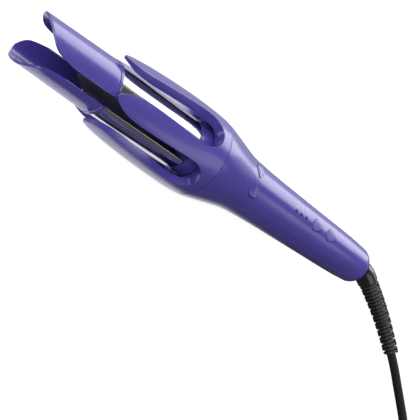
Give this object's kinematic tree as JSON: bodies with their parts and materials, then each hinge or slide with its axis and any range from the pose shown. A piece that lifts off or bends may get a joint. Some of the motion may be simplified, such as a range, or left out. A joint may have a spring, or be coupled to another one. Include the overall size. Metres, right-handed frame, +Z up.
{
  "type": "automatic hair curler",
  "caption": "Automatic hair curler: a slotted, heated barrel with two long horns turns inside a cage of petals on a tapered handle with buttons, keys, lamps and a coiled mains cord.",
  "frame": {"origin": "on the table, below the middle of the curler without its cord", "axes": "+X along the curler from its cord end towards the tips of the horns, +Y to the side on which the cord lies, +Z up, the side with the buttons"},
  "size_m": [0.4118, 0.1991, 0.0569],
  "materials": {
    "violet_plastic": "satin gloss",
    "chrome": "polished",
    "dark_plastic": "matte",
    "ceramic": "matte",
    "aluminium": "cast",
    "brass": "turned",
    "steel": "plated",
    "white_plastic": "matte",
    "circuit_board": "lacquered",
    "black_plastic": "matte",
    "light_pipe": "clear",
    "capacitor_sleeve": "sleeved",
    "rubber": "satin"
  },
  "bodies": {
    "root": {"brush_block": "dark_plastic", "capacitor": "capacitor_sleeve", "clamp_screw_1": "steel", "clamp_screw_2": "steel", "control_board": "circuit_board", "cord": "rubber", "cord_clamp": "dark_plastic", "cord_coil": "rubber", "front_bearing": "brass", "front_bearing_plate": "aluminium", "gear_motor": "steel", "guard_screw_1": "steel", "guard_screw_2": "steel", "guard_screw_3": "steel", "handle_bottom_shell": "violet_plastic", "handle_top_shell": "violet_plastic", "heat_switch": "black_plastic", "inner_lead": "rubber", "key_board": "circuit_board", "left_switch": "black_plastic", "light_pipe_1": "light_pipe", "light_pipe_2": "light_pipe", "light_pipe_3": "light_pipe", "motor_plate": "aluminium", "petal_guard": "violet_plastic", "plug_body": "rubber", "plug_pin_1": "brass", "plug_pin_2": "brass", "power_board": "circuit_board", "power_switch": "black_plastic", "rear_bearing": "brass", "rear_bearing_plate": "aluminium", "right_switch": "black_plastic", "shell_screw_1": "steel", "shell_screw_2": "steel", "shell_screw_3": "steel", "strain_relief": "rubber", "terminal_block": "white_plastic", "tie_rod_1": "steel", "tie_rod_2": "steel"},
    "barrel": {"root_collar": "violet_plastic", "drive_shaft": "steel", "drive_gear": "white_plastic", "slip_ring": "brass", "barrel_shell_a": "chrome", "slot_liner_a": "dark_plastic", "heater_a": "ceramic", "heat_spreader_a": "aluminium", "horn_a": "violet_plastic", "barrel_shell_b": "chrome", "slot_liner_b": "dark_plastic", "heater_b": "ceramic", "heat_spreader_b": "aluminium", "horn_b": "violet_plastic"},
    "pinion": {"motor_pinion": "brass"},
    "power_button": {"power_button": "violet_plastic"},
    "heat_button": {"heat_button": "violet_plastic"},
    "left_key": {"left_key": "violet_plastic"},
    "right_key": {"right_key": "violet_plastic"}
  },
  "joints": [
    {"name": "barrel_spin", "type": "hinge", "parent": "root", "child": "barrel", "pos_m": [-0.01405, 0, 0.02431], "axis": [0.996, 0, 0.0892], "continuous": true},
    {"name": "pinion_spin", "type": "hinge", "parent": "root", "child": "pinion", "pos_m": [-0.01329, 0, 0.01577], "axis": [0.996, 0, 0.0892], "continuous": true},
    {"name": "power_button_press", "type": "slide", "parent": "root", "child": "power_button", "axis": [0.0892, 0, -0.996], "range_m": [0, 0.0006], "stiffness_N_per_m": 1500},
    {"name": "heat_button_press", "type": "slide", "parent": "root", "child": "heat_button", "axis": [0.0892, 0, -0.996], "range_m": [0, 0.0006], "stiffness_N_per_m": 1500},
    {"name": "left_key_press", "type": "slide", "parent": "root", "child": "left_key", "axis": [0.0892, 0, -0.996], "range_m": [0, 0.0006], "stiffness_N_per_m": 1500},
    {"name": "right_key_press", "type": "slide", "parent": "root", "child": "right_key", "axis": [0.0892, 0, -0.996], "range_m": [0, 0.0006], "stiffness_N_per_m": 1500}
  ],
  "couplings": [
    {"joint": "pinion_spin", "follows": "barrel_spin", "ratio": -1.8333}
  ]
}
